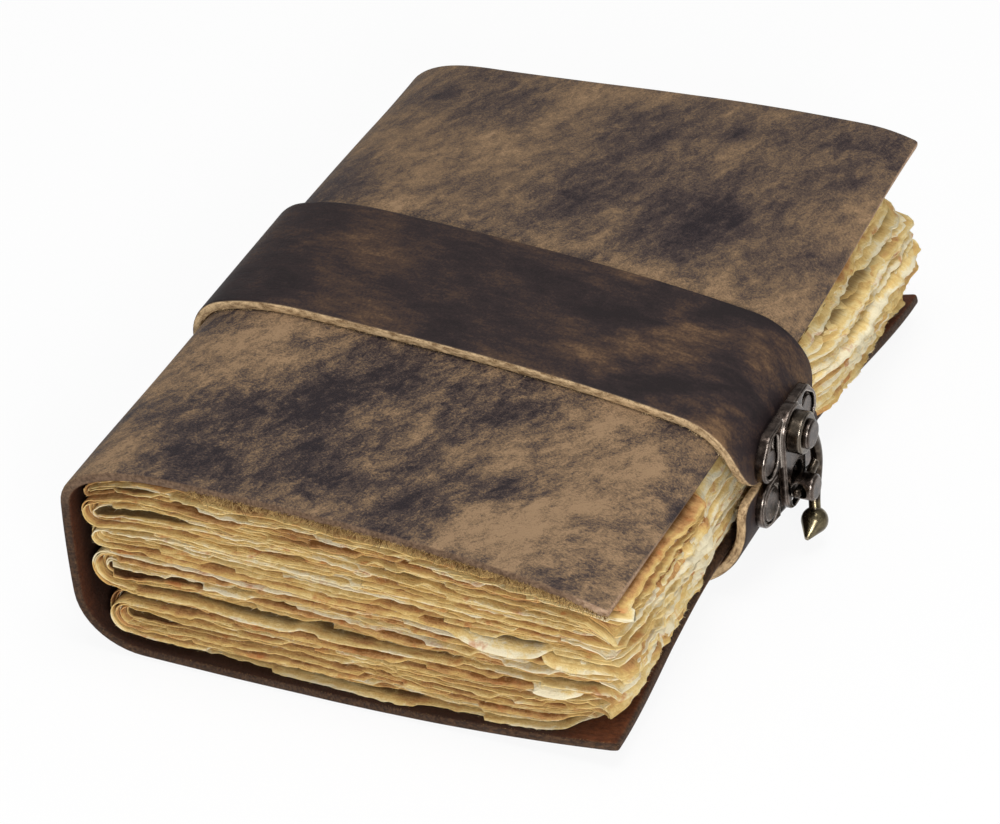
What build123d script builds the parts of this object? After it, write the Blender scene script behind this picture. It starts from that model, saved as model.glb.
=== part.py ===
from build123d import *
from math import sin, cos, sqrt, radians
import os

os.makedirs("parts", exist_ok=True)

# Cover: one folded piece of leather, millimetres
COVER_L = 178.0
COVER_W = 129.5
COVER_T = 2.4
CORNER_R = 1.0
BACK_FOLD_R = 12.0
FRONT_FOLD_R = 9.0
SPINE_RUN = 25.0
DOME_DEG = 20.0
CROWN_X = 29.0
CROWN_RISE = 2.35
CROWN_DEG = -1.5

# Strap: wide belt right round the middle of the book
STRAP_W = 43.0
STRAP_T = 2.4
STRAP_Y = -4.5
STRAP_SEAT = 0.15
STRAP_END_GAP = 0.8
STRAP_HIGH_END_R = 12.0
STRAP_LOW_END_R = 4.0
FORE_REACH = 4.0
LOW_BEND_R = 21.0
HIGH_BEND_R = 17.0
BEND_RUN = 9.0
SHOULDER_DEG = 9.0

# How far the strap pulls the cover's free edges round the bends
EDGE_LIFT_DEG = 57.0
EDGE_DROOP_DEG = 54.0
PRESSED_MARGIN = 3.0

# Free ends of the cover, away from the strap
END_SAG = 1.5
EDGE_RISE_DEG = 12.0
NEAR_EDGE_RISE = 2.5
NEAR_CROWN_LIFT = 1.3
NEAR_CROWN_DEG = -1.5
NEAR_SHOULDER_RISE = -1.9
NEAR_SHOULDER_DEG = 12.0
NEAR_TIP_RISE = -4.4
NEAR_TIP_DEG = 15.0
FAR_EDGE_RISE = 2.6
FAR_CROWN_LIFT = -1.2
FAR_CROWN_DEG = 2.5
FAR_SHOULDER_RISE = 5.6
FAR_SHOULDER_DEG = 2.0
FAR_TIP_RISE = 3.4
FAR_TIP_DEG = 20.0

# Pages: folded sections of deckle-edge paper
PAGE_MARGIN = 4.5
PAGE_GAP = 0.3
PAGE_CORNER_R = 3.0
SECTION_SHARES = (0.28, 0.25, 0.18, 0.20, 0.09)
FOLD_EASE = (3.9, 0.5, 0.9, 0.5, 2.3)
LEAF_STEPS = 18
DECKLE_DEPTH = 1.8
FORE_ROUND_DEG = 30.0
FOLD_WALL = 2.2
SLIT_L = 12.0
SLIT_SHARE = 0.18

# Binding thread: long stitches each side of the strap in every sewn section
THREAD_R = 0.45
THREAD_FIT = 0.05
THREAD_HOLE_R = 0.6
SEWN_SECTIONS = 4
STITCH_STRAP_GAP = 8.0
STITCH_END_GAP = 11.0
STITCH_LINK_L = 8.0

# Clasp plates, sizes from the lever's pivot
PIVOT_RISE = 3.0
RIVET_PITCH = 21.6
UPPER_RIVET_DROP = 1.6
LOWER_RIVET_DROP = 12.8
POST_DROP = 14.5
PLATE_T = 1.9
UPPER_PLATE_T = 2.4
PLATE_FLOOR_T = 0.9
UPPER_LOBE_R = 4.7
LOWER_LOBE_R = 5.6
FOOT_R = 6.0
POCKET_RIM = 0.9
ARCH_H = 4.0
PLATE_TOP = 5.2
PLATE_TOP_R = 3.0
PLATE_EDGE = 0.4
CENTRE_T = 1.3
TONGUE_T = 1.7
TONGUE_GAP = 0.4
TONGUE_R = 6.2
TONGUE_END_R = 5.6
SLOT_GAP = 0.4
SLOT_L = 11.5

# Post and its eye
POST_R = 3.1
POST_SPIGOT_R = 1.8
POST_REACH = 8.2
POST_BEVEL = 0.6
EYE_R = 1.9
EYE_REACH = 4.9

# Swing lever
HUB_R = 4.9
HUB_T = 3.0
HUB_EDGE = 0.4
HUB_GAP = 0.1
PIN_R = 1.5
PIN_RUN_FIT = 0.05
PIN_CAP_R = 3.4
PIN_CAP_H = 1.3
PIN_CAP_BEVEL = 0.5
HOOK_R = 1.05
HOOK_TIP_DEG = -16.0
HOOK_ROOT_DEG = 32.0
ARM_R = 1.35
ARM_BULGE = 7.8
KNOB_Y = 3.0
KNOB_DROP = 26.0
KNOB_REACH = 5.9
KNOB_R = 3.1
KNOB_L = 8.4
KNOB_TIP_DEG = 200.0
KNOB_TIP_R = 0.5
KNOB_TAPER_DEG = 35.0

# Rivets and washers
RIVET_R = 1.5
RIVET_HEAD_GAP = 0.6
RIVET_BEVEL = 0.25
RIVET_FIT = 0.04
WASHER_R = 2.8
WASHER_T = 0.6
WASHER_FIT = 0.15
TAIL_R = 2.2
TAIL_H = 0.7

# Levels that follow from the sizes above
UNDERSIDE_Z = STRAP_T + STRAP_SEAT
STRAP_OUT = STRAP_T + STRAP_SEAT
FORE_X = COVER_W + FORE_REACH
BACK_FOLD_C = (BACK_FOLD_R, UNDERSIDE_Z + BACK_FOLD_R)
FRONT_FOLD_C = (FRONT_FOLD_R, UNDERSIDE_Z + BACK_FOLD_R + SPINE_RUN)
LOW_BEND_C = (FORE_X - LOW_BEND_R, LOW_BEND_R)
HIGH_BEND_C = (FORE_X - HIGH_BEND_R, LOW_BEND_R + BEND_RUN)
PIVOT_Z = HIGH_BEND_C[1] + PIVOT_RISE
TONGUE_TOP = CENTRE_T + TONGUE_GAP + TONGUE_T
ORIGIN_X = (FORE_X + KNOB_REACH + KNOB_R - STRAP_OUT) / 2
STRAP_NEAR = STRAP_Y - STRAP_W / 2
STRAP_FAR = STRAP_Y + STRAP_W / 2
PAGE_L = COVER_L - 2 * PAGE_MARGIN
PAGE_BOTTOM = UNDERSIDE_Z + COVER_T + PAGE_GAP
PAGE_TOP = FRONT_FOLD_C[1] + (FRONT_FOLD_R - COVER_T - PAGE_GAP) * cos(radians(DOME_DEG))


def around(centre, radius, deg):
    # Point on a bend, the angle counted from straight up towards the fore-edge
    return (centre[0] + radius * sin(radians(deg)), centre[1] + radius * cos(radians(deg)))


def run(start, end):
    # Smooth length of leather or paper between two points with set headings
    (x0, z0, a0), (x1, z1, a1) = start, end
    if a0 % 360 == a1 % 360:
        return Line((x0, z0), (x1, z1))
    handle = sqrt((x1 - x0) ** 2 + (z1 - z0) ** 2) / (3 * cos(radians(a1 - a0) / 4) ** 2)
    c0 = (x0 + handle * cos(radians(a0)), z0 + handle * sin(radians(a0)))
    c1 = (x1 - handle * cos(radians(a1)), z1 - handle * sin(radians(a1)))
    return Bezier((x0, z0), c0, c1, (x1, z1))


def inward(knot, depth):
    # The same knot moved towards the pages
    x, z, a = knot
    return (x + depth * sin(radians(a)), z - depth * cos(radians(a)), a)


def band(knots, outer, thickness):
    # Cross-section of a bent sheet, from its outer face inwards
    out = [inward(k, outer) for k in knots]
    ins = [inward(k, outer + thickness) for k in knots]
    edges = [run(a, b) for a, b in zip(out, out[1:])]
    edges.append(Line(out[-1][:2], ins[-1][:2]))
    back = [(x, z, a + 180) for x, z, a in reversed(ins)]
    edges += [run(a, b) for a, b in zip(back, back[1:])]
    edges.append(Line(ins[0][:2], out[0][:2]))
    return make_face(edges)


def spine_knots(sag, crown_lift, crown_deg):
    # From the back board round the spine to the crown of the front board
    bx, bz = BACK_FOLD_C
    fx, fz = around(FRONT_FOLD_C, FRONT_FOLD_R, -DOME_DEG)
    crown = (CROWN_X, FRONT_FOLD_C[1] + FRONT_FOLD_R + CROWN_RISE + crown_lift, crown_deg)
    back_fold = [(bx, UNDERSIDE_Z - sag, 180), (0, bz, 90)]
    return back_fold + [(0, FRONT_FOLD_C[1], 90), (fx, fz, DOME_DEG), crown]


def pressed_knots(lift, droop):
    # Where the strap holds the cover: edges follow the strap's two bends
    low_r = LOW_BEND_R - STRAP_OUT
    high_r = HIGH_BEND_R - STRAP_OUT
    bottom = (*around(LOW_BEND_C, low_r, 180 - lift), 180 + lift)
    bottom_flat = (LOW_BEND_C[0], UNDERSIDE_Z, 180)
    shoulder = (*around(HIGH_BEND_C, high_r, SHOULDER_DEG), -SHOULDER_DEG)
    top = (*around(HIGH_BEND_C, high_r, droop), -droop)
    return [bottom, bottom_flat] + spine_knots(0, 0, CROWN_DEG) + [shoulder, top]


def end_knots(edge_rise, lift, crown_deg, shoulder_rise, shoulder_deg, tip_rise, tip_deg):
    # A free end of the cover, where the boards ease away from the pages
    crown = HIGH_BEND_C[1] + HIGH_BEND_R
    bottom = (COVER_W, UNDERSIDE_Z + edge_rise, 180 + EDGE_RISE_DEG)
    bottom_flat = (LOW_BEND_C[0], UNDERSIDE_Z - END_SAG, 180)
    shoulder_x = around(HIGH_BEND_C, HIGH_BEND_R, SHOULDER_DEG)[0]
    shoulder = (shoulder_x, crown + shoulder_rise, -shoulder_deg)
    top = (COVER_W, crown + tip_rise, -tip_deg)
    return [bottom, bottom_flat] + spine_knots(END_SAG, lift, crown_deg) + [shoulder, top]


def near_knots():
    # The front board droops to its near corner
    shoulder = (NEAR_SHOULDER_RISE, NEAR_SHOULDER_DEG)
    return end_knots(NEAR_EDGE_RISE, NEAR_CROWN_LIFT, NEAR_CROWN_DEG, *shoulder, NEAR_TIP_RISE, NEAR_TIP_DEG)


def far_knots():
    # The front board stands up at its far corner with the tip turned down
    shoulder = (FAR_SHOULDER_RISE, FAR_SHOULDER_DEG)
    return end_knots(FAR_EDGE_RISE, FAR_CROWN_LIFT, FAR_CROWN_DEG, *shoulder, FAR_TIP_RISE, FAR_TIP_DEG)


def at_y(face, y):
    # A cross-section stood up across the book at a place along its length
    return Plane.XZ.offset(-y) * face


def spine_x(z):
    # Outer face of the spine at a height, for the stitches
    if z < BACK_FOLD_C[1]:
        drop = (BACK_FOLD_C[1] - z) / (BACK_FOLD_R + END_SAG)
        return BACK_FOLD_R * (1 - sqrt(1 - drop ** 2))
    if z > FRONT_FOLD_C[1]:
        return FRONT_FOLD_R - sqrt(FRONT_FOLD_R ** 2 - (z - FRONT_FOLD_C[1]) ** 2)
    return 0.0


def section_levels():
    # Heights of the folds between sections
    levels = [PAGE_BOTTOM]
    for share in SECTION_SHARES:
        levels.append(levels[-1] + share * (PAGE_TOP - PAGE_BOTTOM))
    return levels


def fold_x(i):
    # Spine side of one folded section
    return COVER_T + PAGE_GAP + FOLD_EASE[i]


def stations():
    # Sewing holes along the spine, clear of the page ends and of the strap
    head = PAGE_L / 2 - STITCH_END_GAP
    near = (-head, -head + STITCH_LINK_L, STRAP_NEAR - STITCH_STRAP_GAP)
    far = (STRAP_FAR + STITCH_STRAP_GAP, head - STITCH_LINK_L, head)
    return near + far


def section_mid(i):
    # Height of the fold's middle in one section
    levels = section_levels()
    return (levels[i] + levels[i + 1]) / 2


def thread_inside(i):
    return fold_x(i) + FOLD_WALL + SLIT_L / 4


def thread_outside(i):
    return spine_x(section_mid(i)) - THREAD_R - THREAD_FIT


def sewing_path():
    # One thread in and out of every station, climbing to the next section at each end
    turns = []
    for i in range(SEWN_SECTIONS):
        mid = section_mid(i)
        ends = stations() if i % 2 == 0 else stations()[::-1]
        inner = [(thread_inside(i), y, mid) for y in ends]
        outer = [(thread_outside(i), y, mid) for y in ends]
        if i > 0:
            climb_x = min(thread_outside(i - 1), thread_outside(i))
            turns += [(climb_x, ends[0], section_mid(i - 1)), (climb_x, ends[0], mid), outer[0]]
        turns += [inner[0], inner[1], outer[1], outer[2], inner[2]]
        turns += [inner[3], outer[3], outer[4], inner[4], inner[5]]
        if i < SEWN_SECTIONS - 1:
            turns.append(outer[5])
    return turns


def sewing_holes():
    # Holes through spine and folds wherever the thread passes
    turns = sewing_path()
    holes = []
    for (x0, y0, z0), (x1, y1, z1) in zip(turns, turns[1:]):
        if abs(x1 - x0) > COVER_T:
            rod = Cylinder(THREAD_HOLE_R, 2 * max(x0, x1) + SLIT_L / 4)
            holes.append(Pos(0, y0, z0) * Rot(0, 90, 0) * rod)
    return holes


def cover():
    pressed = band(pressed_knots(EDGE_LIFT_DEG, EDGE_DROOP_DEG), 0, COVER_T)
    near_y = STRAP_NEAR - PRESSED_MARGIN
    far_y = STRAP_FAR + PRESSED_MARGIN
    near = loft([at_y(band(near_knots(), 0, COVER_T), -COVER_L / 2), at_y(pressed, near_y)])
    middle = extrude(at_y(pressed, near_y), far_y - near_y, dir=(0, 1, 0))
    far = loft([at_y(pressed, far_y), at_y(band(far_knots(), 0, COVER_T), COVER_L / 2)])
    plan_l = 2 * COVER_W
    plan = Pos(COVER_W - plan_l / 2, 0, 0) * RectangleRounded(plan_l, COVER_L, CORNER_R)
    folded = (near + middle + far) & extrude(plan, 2 * PAGE_TOP)
    return folded - sewing_holes()


def page_outline():
    # Cross-section of the text block, folds on the spine side
    low_r = LOW_BEND_R - STRAP_OUT - COVER_T - PAGE_GAP
    high_r = HIGH_BEND_R - STRAP_OUT - COVER_T - PAGE_GAP
    low_edge = around(LOW_BEND_C, low_r, 180 - FORE_ROUND_DEG)
    low_flat = (LOW_BEND_C[0], PAGE_BOTTOM)
    shoulder = around(HIGH_BEND_C, high_r, SHOULDER_DEG)
    high_edge = around(HIGH_BEND_C, high_r, FORE_ROUND_DEG)
    levels = section_levels()
    edges = [run((*low_edge, 180 + FORE_ROUND_DEG), (*low_flat, 180))]
    here = low_flat
    for i in range(len(SECTION_SHARES)):
        radius = (levels[i + 1] - levels[i]) / 2
        start = (fold_x(i) + radius, levels[i])
        tip = (fold_x(i), levels[i] + radius)
        end = (fold_x(i) + radius, levels[i + 1])
        edges.append(Line(here, start))
        edges.append(ThreePointArc(start, tip, end))
        here = end
    lowest = min(0, NEAR_CROWN_LIFT, FAR_CROWN_LIFT)
    crown = inward(spine_knots(0, lowest, CROWN_DEG)[-1], COVER_T + PAGE_GAP)
    edges.append(run((*here, DOME_DEG), crown))
    edges.append(run(crown, (*shoulder, -SHOULDER_DEG)))
    edges.append(run((*shoulder, -SHOULDER_DEG), (*high_edge, -FORE_ROUND_DEG)))
    edges.append(run((*high_edge, -2 * FORE_ROUND_DEG), (*low_edge, -4 * FORE_ROUND_DEG)))
    return make_face(edges)


def leaves():
    # Stack of leaf packets with uneven deckle edges
    top = HIGH_BEND_C[1] + HIGH_BEND_R + DECKLE_DEPTH
    step = (top - PAGE_BOTTOM) / LEAF_STEPS
    stack = []
    for i in range(LEAF_STEPS):
        near = DECKLE_DEPTH * (0.5 + 0.5 * sin(2.4 * i))
        far = DECKLE_DEPTH * (0.5 + 0.5 * sin(1.9 * i + 1))
        fore = FORE_X - STRAP_T - DECKLE_DEPTH - DECKLE_DEPTH * (0.5 + 0.5 * sin(2.9 * i + 2))
        length = PAGE_L - near - far
        plan = RectangleRounded(2 * fore, length, PAGE_CORNER_R)
        stack.append(Pos(0, (near - far) / 2, PAGE_BOTTOM + i * step) * extrude(plan, step))
    return stack


def pages():
    block = extrude(at_y(page_outline(), -PAGE_L / 2), PAGE_L, dir=(0, 1, 0))
    stack = leaves()
    block = block & stack[0].fuse(*stack[1:])
    levels = section_levels()
    slits = []
    for i in range(SEWN_SECTIONS):
        height = levels[i + 1] - levels[i]
        slit = Pos(fold_x(i) + FOLD_WALL + SLIT_L / 2, levels[i] + height / 2)
        slit = slit * Ellipse(SLIT_L / 2, height * SLIT_SHARE / 2)
        slits.append(extrude(at_y(slit, -PAGE_L / 2), PAGE_L, dir=(0, 1, 0)))
    return block - slits - sewing_holes()


def thread_length(start, end):
    # A straight length of thread, long enough to meet the next one at each turn
    path = Line(start, end)
    foot = Plane(origin=path @ 0 - (path % 0) * THREAD_R, z_dir=path % 0)
    return extrude(foot * Circle(THREAD_R), path.length + 2 * THREAD_R)


def binding_thread():
    turns = sewing_path()
    steps = [(a, b) for a, b in zip(turns, turns[1:]) if a != b]
    lengths = [thread_length(a, b) for a, b in steps]
    return lengths[0].fuse(*lengths[1:])


def clasp(u, v, n):
    # Place on the clasp: along the book, above the pivot, out from the strap
    return Plane(origin=(FORE_X + n, STRAP_Y + u, PIVOT_Z + v), x_dir=(0, 1, 0), z_dir=(1, 0, 0))


def rivet_places(drop):
    # Two rivets each side of the clasp's middle
    return [(-RIVET_PITCH / 2, -drop), (RIVET_PITCH / 2, -drop)]


def all_rivets():
    return rivet_places(UPPER_RIVET_DROP) + rivet_places(LOWER_RIVET_DROP)


def washer_seats():
    # The bent leather is pressed flat under each washer
    seat = Circle(WASHER_R + WASHER_FIT)
    return [extrude(clasp(u, v, -STRAP_T - STRAP_OUT) * seat, STRAP_OUT) for u, v in all_rivets()]


def strap():
    knots = pressed_knots(90, 90)
    joint_z = PIVOT_Z - (UPPER_RIVET_DROP + LOWER_RIVET_DROP) / 2
    low_end = (FORE_X - STRAP_OUT, joint_z - STRAP_END_GAP / 2, 270)
    high_end = (FORE_X - STRAP_OUT, joint_z + STRAP_END_GAP / 2, -90)
    face = band([low_end] + knots + [high_end], -STRAP_OUT, STRAP_T)
    belt = extrude(at_y(face, STRAP_NEAR), STRAP_W, dir=(0, 1, 0))
    ends = [e for e in belt.edges().filter_by(Axis.X) if abs(e.center().Z - joint_z) < STRAP_END_GAP]
    belt = fillet([e for e in ends if e.center().Z > joint_z], STRAP_HIGH_END_R)
    ends = [e for e in belt.edges().filter_by(Axis.X) if abs(e.center().Z - low_end[1]) < STRAP_END_GAP / 4]
    belt = fillet(ends, STRAP_LOW_END_R)
    holes = [clasp(u, v, -STRAP_T / 2) * Cylinder(RIVET_R + RIVET_FIT, 2 * STRAP_T) for u, v in all_rivets()]
    return belt - holes - washer_seats()


def lobes(drop, radius, thickness, extra):
    # Plate outline: two rivet lobes drawn together with the extra rounds
    rounds = [Pos(u, v) * Circle(radius) for u, v in rivet_places(drop)] + extra
    outline = make_hull([e for r in rounds for e in r.edges()])
    plate = extrude(clasp(0, 0, 0) * outline, thickness)
    front = plate.faces().sort_by(Axis.X)[-1]
    return chamfer(front.edges(), PLATE_EDGE)


def rivet_holes(drop):
    hole = Circle(RIVET_R + RIVET_FIT)
    return [extrude(clasp(u, v, -PLATE_T) * hole, 3 * PLATE_T) for u, v in rivet_places(drop)]


def round_pockets(drop, radius):
    # Round recess for each rivet head
    return [extrude(clasp(u, v, PLATE_FLOOR_T) * Circle(radius), PLATE_T) for u, v in rivet_places(drop)]


def arched_pockets(drop, radius):
    # The same with each recess drawn out to an arch above its rivet
    cuts = []
    for u, v in rivet_places(drop):
        crown = Pos(u * (1 - ARCH_H / RIVET_PITCH), v + ARCH_H) * Circle(radius / 2)
        rounds = [Pos(u, v) * Circle(radius), crown]
        recess = make_hull([e for r in rounds for e in r.edges()])
        cuts.append(extrude(clasp(0, 0, PLATE_FLOOR_T) * recess, UPPER_PLATE_T))
    return cuts


def upper_plate():
    top = PLATE_TOP - PLATE_TOP_R
    shoulders = [Pos(s * (RIVET_PITCH / 2 - 1), top) * Circle(PLATE_TOP_R) for s in (-1, 1)]
    plate = lobes(UPPER_RIVET_DROP, UPPER_LOBE_R, UPPER_PLATE_T, shoulders)
    recesses = arched_pockets(UPPER_RIVET_DROP, UPPER_LOBE_R - POCKET_RIM)
    plate = plate - recesses - rivet_holes(UPPER_RIVET_DROP)
    ends = [Circle(TONGUE_R), Pos(0, -POST_DROP) * Circle(TONGUE_END_R)]
    outline = make_hull([e for r in ends for e in r.edges()])
    tongue = extrude(clasp(0, 0, PLATE_FLOOR_T / 2) * outline, TONGUE_TOP - PLATE_FLOOR_T / 2)
    tongue = chamfer(tongue.faces().sort_by(Axis.X)[-1].edges(), PLATE_EDGE)
    free_v = UPPER_RIVET_DROP + UPPER_LOBE_R - PLATE_EDGE
    free = Pos(0, -free_v - POST_DROP) * Rectangle(4 * TONGUE_R, 2 * POST_DROP)
    tongue = tongue - extrude(clasp(0, 0, 0) * free, CENTRE_T + TONGUE_GAP)
    slot_w = 2 * (POST_R + SLOT_GAP)
    slot = Pos(0, -POST_DROP + SLOT_GAP) * SlotOverall(SLOT_L, slot_w, rotation=90)
    tongue = tongue - extrude(clasp(0, 0, CENTRE_T) * slot, TONGUE_TOP)
    pin_hole = extrude(clasp(0, 0, -PLATE_T) * Circle(PIN_R + RIVET_FIT), 4 * PLATE_T)
    return plate + tongue - pin_hole


def lower_plate():
    foot = [Pos(0, -POST_DROP) * Circle(FOOT_R)]
    plate = lobes(LOWER_RIVET_DROP, LOWER_LOBE_R, PLATE_T, foot)
    recesses = round_pockets(LOWER_RIVET_DROP, LOWER_LOBE_R - POCKET_RIM)
    plate = plate - recesses - rivet_holes(LOWER_RIVET_DROP)
    bed_w = 2 * (TONGUE_R + SLOT_GAP)
    bed = extrude(clasp(0, -POST_DROP, CENTRE_T) * Rectangle(bed_w, 6 * LOWER_LOBE_R), PLATE_T)
    spigot_hole = extrude(clasp(0, -POST_DROP, -PLATE_T) * Circle(POST_SPIGOT_R + RIVET_FIT), 3 * PLATE_T)
    return plate - bed - spigot_hole


def eye_post():
    post = extrude(clasp(0, -POST_DROP, CENTRE_T) * Circle(POST_R), POST_REACH - CENTRE_T)
    post = chamfer(post.faces().sort_by(Axis.X)[-1].edges(), POST_BEVEL)
    spigot = extrude(clasp(0, -POST_DROP, 0) * Circle(POST_SPIGOT_R), CENTRE_T)
    eye = Plane(origin=clasp(0, -POST_DROP, EYE_REACH).origin, z_dir=(0, 1, 0)) * Cylinder(EYE_R, 4 * POST_R)
    return post + spigot - eye


def knob():
    # Acorn end of the lever, turned about its own axis
    tip_y = -(KNOB_L - KNOB_R)
    touch = radians(KNOB_TAPER_DEG)
    side = (KNOB_R * cos(touch), -KNOB_R * sin(touch))
    outline = [
        ThreePointArc((0, KNOB_R), (KNOB_R, 0), side),
        Line(side, (KNOB_TIP_R, tip_y)),
        Line((KNOB_TIP_R, tip_y), (0, tip_y)),
        Line((0, tip_y), (0, KNOB_R)),
    ]
    acorn = revolve(make_face(outline), Axis.Y)
    return clasp(KNOB_Y, -KNOB_DROP, KNOB_REACH) * Rot(0, 0, KNOB_TIP_DEG + 90) * acorn


def swing_lever():
    hub_back = TONGUE_TOP + HUB_GAP
    hub = extrude(clasp(0, 0, hub_back) * Circle(HUB_R), HUB_T)
    hub = chamfer(hub.faces().sort_by(Axis.X)[-1].edges(), HUB_EDGE)
    arm_n = hub_back + HUB_T / 2
    here = clasp(0, 0, arm_n)
    bend = [
        (0.75 * HUB_R, -0.4 * HUB_R, 0),
        (0.92 * ARM_BULGE, -0.55 * POST_DROP, 0),
        (ARM_BULGE, -0.9 * POST_DROP, 0),
        (0.75 * ARM_BULGE, -0.78 * KNOB_DROP, 0),
        (KNOB_Y + 0.2 * KNOB_R, -KNOB_DROP + 0.5 * KNOB_R, KNOB_REACH - arm_n),
    ]
    path = here * Spline(*bend)
    arm = sweep(Plane(origin=path @ 0, z_dir=path % 0) * Circle(ARM_R), path=path)
    hook_n = here * Pos(0, 0, EYE_REACH - arm_n)
    arc = CenterArc((0, 0), POST_DROP, HOOK_TIP_DEG - 90, HOOK_ROOT_DEG - HOOK_TIP_DEG)
    arc = hook_n * arc
    hook = sweep(Plane(origin=arc @ 0, z_dir=arc % 0) * Circle(HOOK_R), path=arc)
    tip = Pos(*(arc @ 0)) * Sphere(HOOK_R)
    bore = extrude(clasp(0, 0, hub_back - HUB_T) * Circle(PIN_R + PIN_RUN_FIT), 3 * HUB_T)
    return (hub - bore) + (arm + knob()) + (hook + tip)


def pivot_pin():
    cap_n = TONGUE_TOP + HUB_GAP + HUB_T + HUB_GAP
    stem = extrude(clasp(0, 0, 0) * Circle(PIN_R), cap_n)
    cap = extrude(clasp(0, 0, cap_n) * Circle(PIN_CAP_R), PIN_CAP_H)
    cap = chamfer(cap.faces().sort_by(Axis.X)[-1].edges(), PIN_CAP_BEVEL)
    return stem + cap


def rivets(drop, lobe_r):
    # Flat heads in the lobe recesses, tails set over washers inside the strap
    made = []
    head_r = lobe_r - POCKET_RIM - RIVET_HEAD_GAP
    for u, v in rivet_places(drop):
        head = extrude(clasp(u, v, PLATE_FLOOR_T) * Circle(head_r), PLATE_T - PLATE_FLOOR_T)
        head = chamfer(head.faces().sort_by(Axis.X)[-1].edges(), RIVET_BEVEL)
        tail_n = -STRAP_T - WASHER_T
        stem = extrude(clasp(u, v, tail_n) * Circle(RIVET_R), PLATE_FLOOR_T - tail_n)
        tail = extrude(clasp(u, v, tail_n - TAIL_H) * Circle(TAIL_R), TAIL_H)
        tail = chamfer(tail.faces().sort_by(Axis.X)[0].edges(), RIVET_BEVEL)
        made.append(head + stem + tail)
    return Compound(children=made)


def rivet_washers():
    made = []
    for u, v in all_rivets():
        ring = Circle(WASHER_R) - Circle(RIVET_R + RIVET_FIT)
        made.append(extrude(clasp(u, v, -STRAP_T - WASHER_T) * ring, WASHER_T))
    return Compound(children=made)


def save(shape, name):
    # Every piece is put in one frame: origin under the middle of the journal
    export_step(Pos(-ORIGIN_X, 0, 0) * shape, "parts/" + name + ".step")


save(cover(), "cover")
save(pages(), "pages")
save(binding_thread(), "binding_thread")
save(strap(), "strap")
save(upper_plate(), "upper_plate")
save(lower_plate(), "lower_plate")
save(eye_post(), "eye_post")
save(swing_lever(), "swing_lever")
save(pivot_pin(), "pivot_pin")
save(rivets(UPPER_RIVET_DROP, UPPER_LOBE_R), "upper_rivets")
save(rivets(LOWER_RIVET_DROP, LOWER_LOBE_R), "lower_rivets")
save(rivet_washers(), "rivet_washers")
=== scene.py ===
from math import cos, hypot, radians, sin

import bpy
import numpy as np
from mathutils import Matrix, Vector


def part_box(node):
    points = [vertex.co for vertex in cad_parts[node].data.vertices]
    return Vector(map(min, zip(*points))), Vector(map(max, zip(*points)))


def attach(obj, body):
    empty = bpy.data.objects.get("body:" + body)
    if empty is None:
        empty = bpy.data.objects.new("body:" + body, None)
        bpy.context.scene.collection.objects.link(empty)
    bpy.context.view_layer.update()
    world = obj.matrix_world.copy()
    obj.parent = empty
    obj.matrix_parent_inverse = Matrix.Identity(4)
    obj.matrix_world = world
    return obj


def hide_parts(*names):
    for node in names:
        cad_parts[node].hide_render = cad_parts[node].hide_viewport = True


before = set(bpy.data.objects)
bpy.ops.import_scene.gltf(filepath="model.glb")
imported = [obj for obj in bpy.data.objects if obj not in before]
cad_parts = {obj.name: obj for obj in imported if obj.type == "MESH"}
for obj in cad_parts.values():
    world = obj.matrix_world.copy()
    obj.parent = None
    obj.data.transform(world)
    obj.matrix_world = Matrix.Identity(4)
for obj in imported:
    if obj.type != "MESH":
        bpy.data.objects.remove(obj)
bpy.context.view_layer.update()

# Cover: one piece of thick soft leather, wrapped from the back board round the spine to the front board.
# The outside is dyed and rubbed to a mottled tan and black, the inside is raw suede, and the edges are
# cut square and left bare. Sizes are millimetres from the spine, the middle of the length and the table.
cover_low, cover_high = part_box("cover")
MM = 0.001
SPINE_X = cover_low.x
COVER_END = (cover_high.y - cover_low.y) / MM / 2
COVER_T = 2.4
COVER_CORNER_R = 0.9
CUT_ROUND = 0.7
# Closer places by a cut end, whose edge is rounded, and where the even spacing begins.
CUT_STEPS = np.array([0, 0.12, 0.35, 0.8, 1.6])
EVEN_ALONG, EVEN_ACROSS = 2.2, 2.4
# The strap holds the cover to one shape between these places along the book.
PRESSED_Y = (-30.0, 23.0)

# Each knot of a bend is a place across the book, a height and a heading in degrees, from the back
# board's free edge round the spine to the front board's free edge.
PRESSED = [(128.0, 10.95, 237), (112.5, 2.55, 180), (12, 2.55, 180), (0, 14.55, 90), (0, 39.55, 90),
           (5.9, 48.0, 20), (29, 50.9, -1.5), (118.8, 44.3, -9), (128.2, 38.5, -54)]
NEAR = [(129.5, 5.0, 188), (88, 1.2, 183), (15, 0.9, 179), (-0.9, 15.0, 92), (-0.9, 39.5, 88),
        (5.0, 48.0, 28), (32, 52.3, -1), (112, 46.8, -9), (129.6, 42.8, -15)]
FAR = [(130.2, 5.2, 192), (112.5, 1.3, 180), (12, 1.3, 180), (0, 14.2, 90), (0, 38.6, 90),
       (6.3, 46.6, 26), (29, 49.9, 3), (119, 52.8, -2), (131.4, 50.4, -20)]


def lattice(i, j, seed):
    """A fixed value between -1 and 1 for each whole-number place."""
    wave = np.sin(i * 127.1 + j * 311.7 + seed * 74.7) * 43758.5453
    return 2 * (wave - np.floor(wave)) - 1


def ripple(x, y, seed):
    """Smooth unevenness between -1 and 1, about one bump for each unit."""
    i, j = np.floor(x), np.floor(y)
    u, v = x - i, y - j
    u, v = u * u * (3 - 2 * u), v * v * (3 - 2 * v)
    low = lattice(i, j, seed) * (1 - u) + lattice(i + 1, j, seed) * u
    high = lattice(i, j + 1, seed) * (1 - u) + lattice(i + 1, j + 1, seed) * u
    return low * (1 - v) + high * v


def ease(t):
    """0 to 1 with a gentle start and stop."""
    t = np.clip(t, 0, 1)
    return t * t * (3 - 2 * t)


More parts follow.
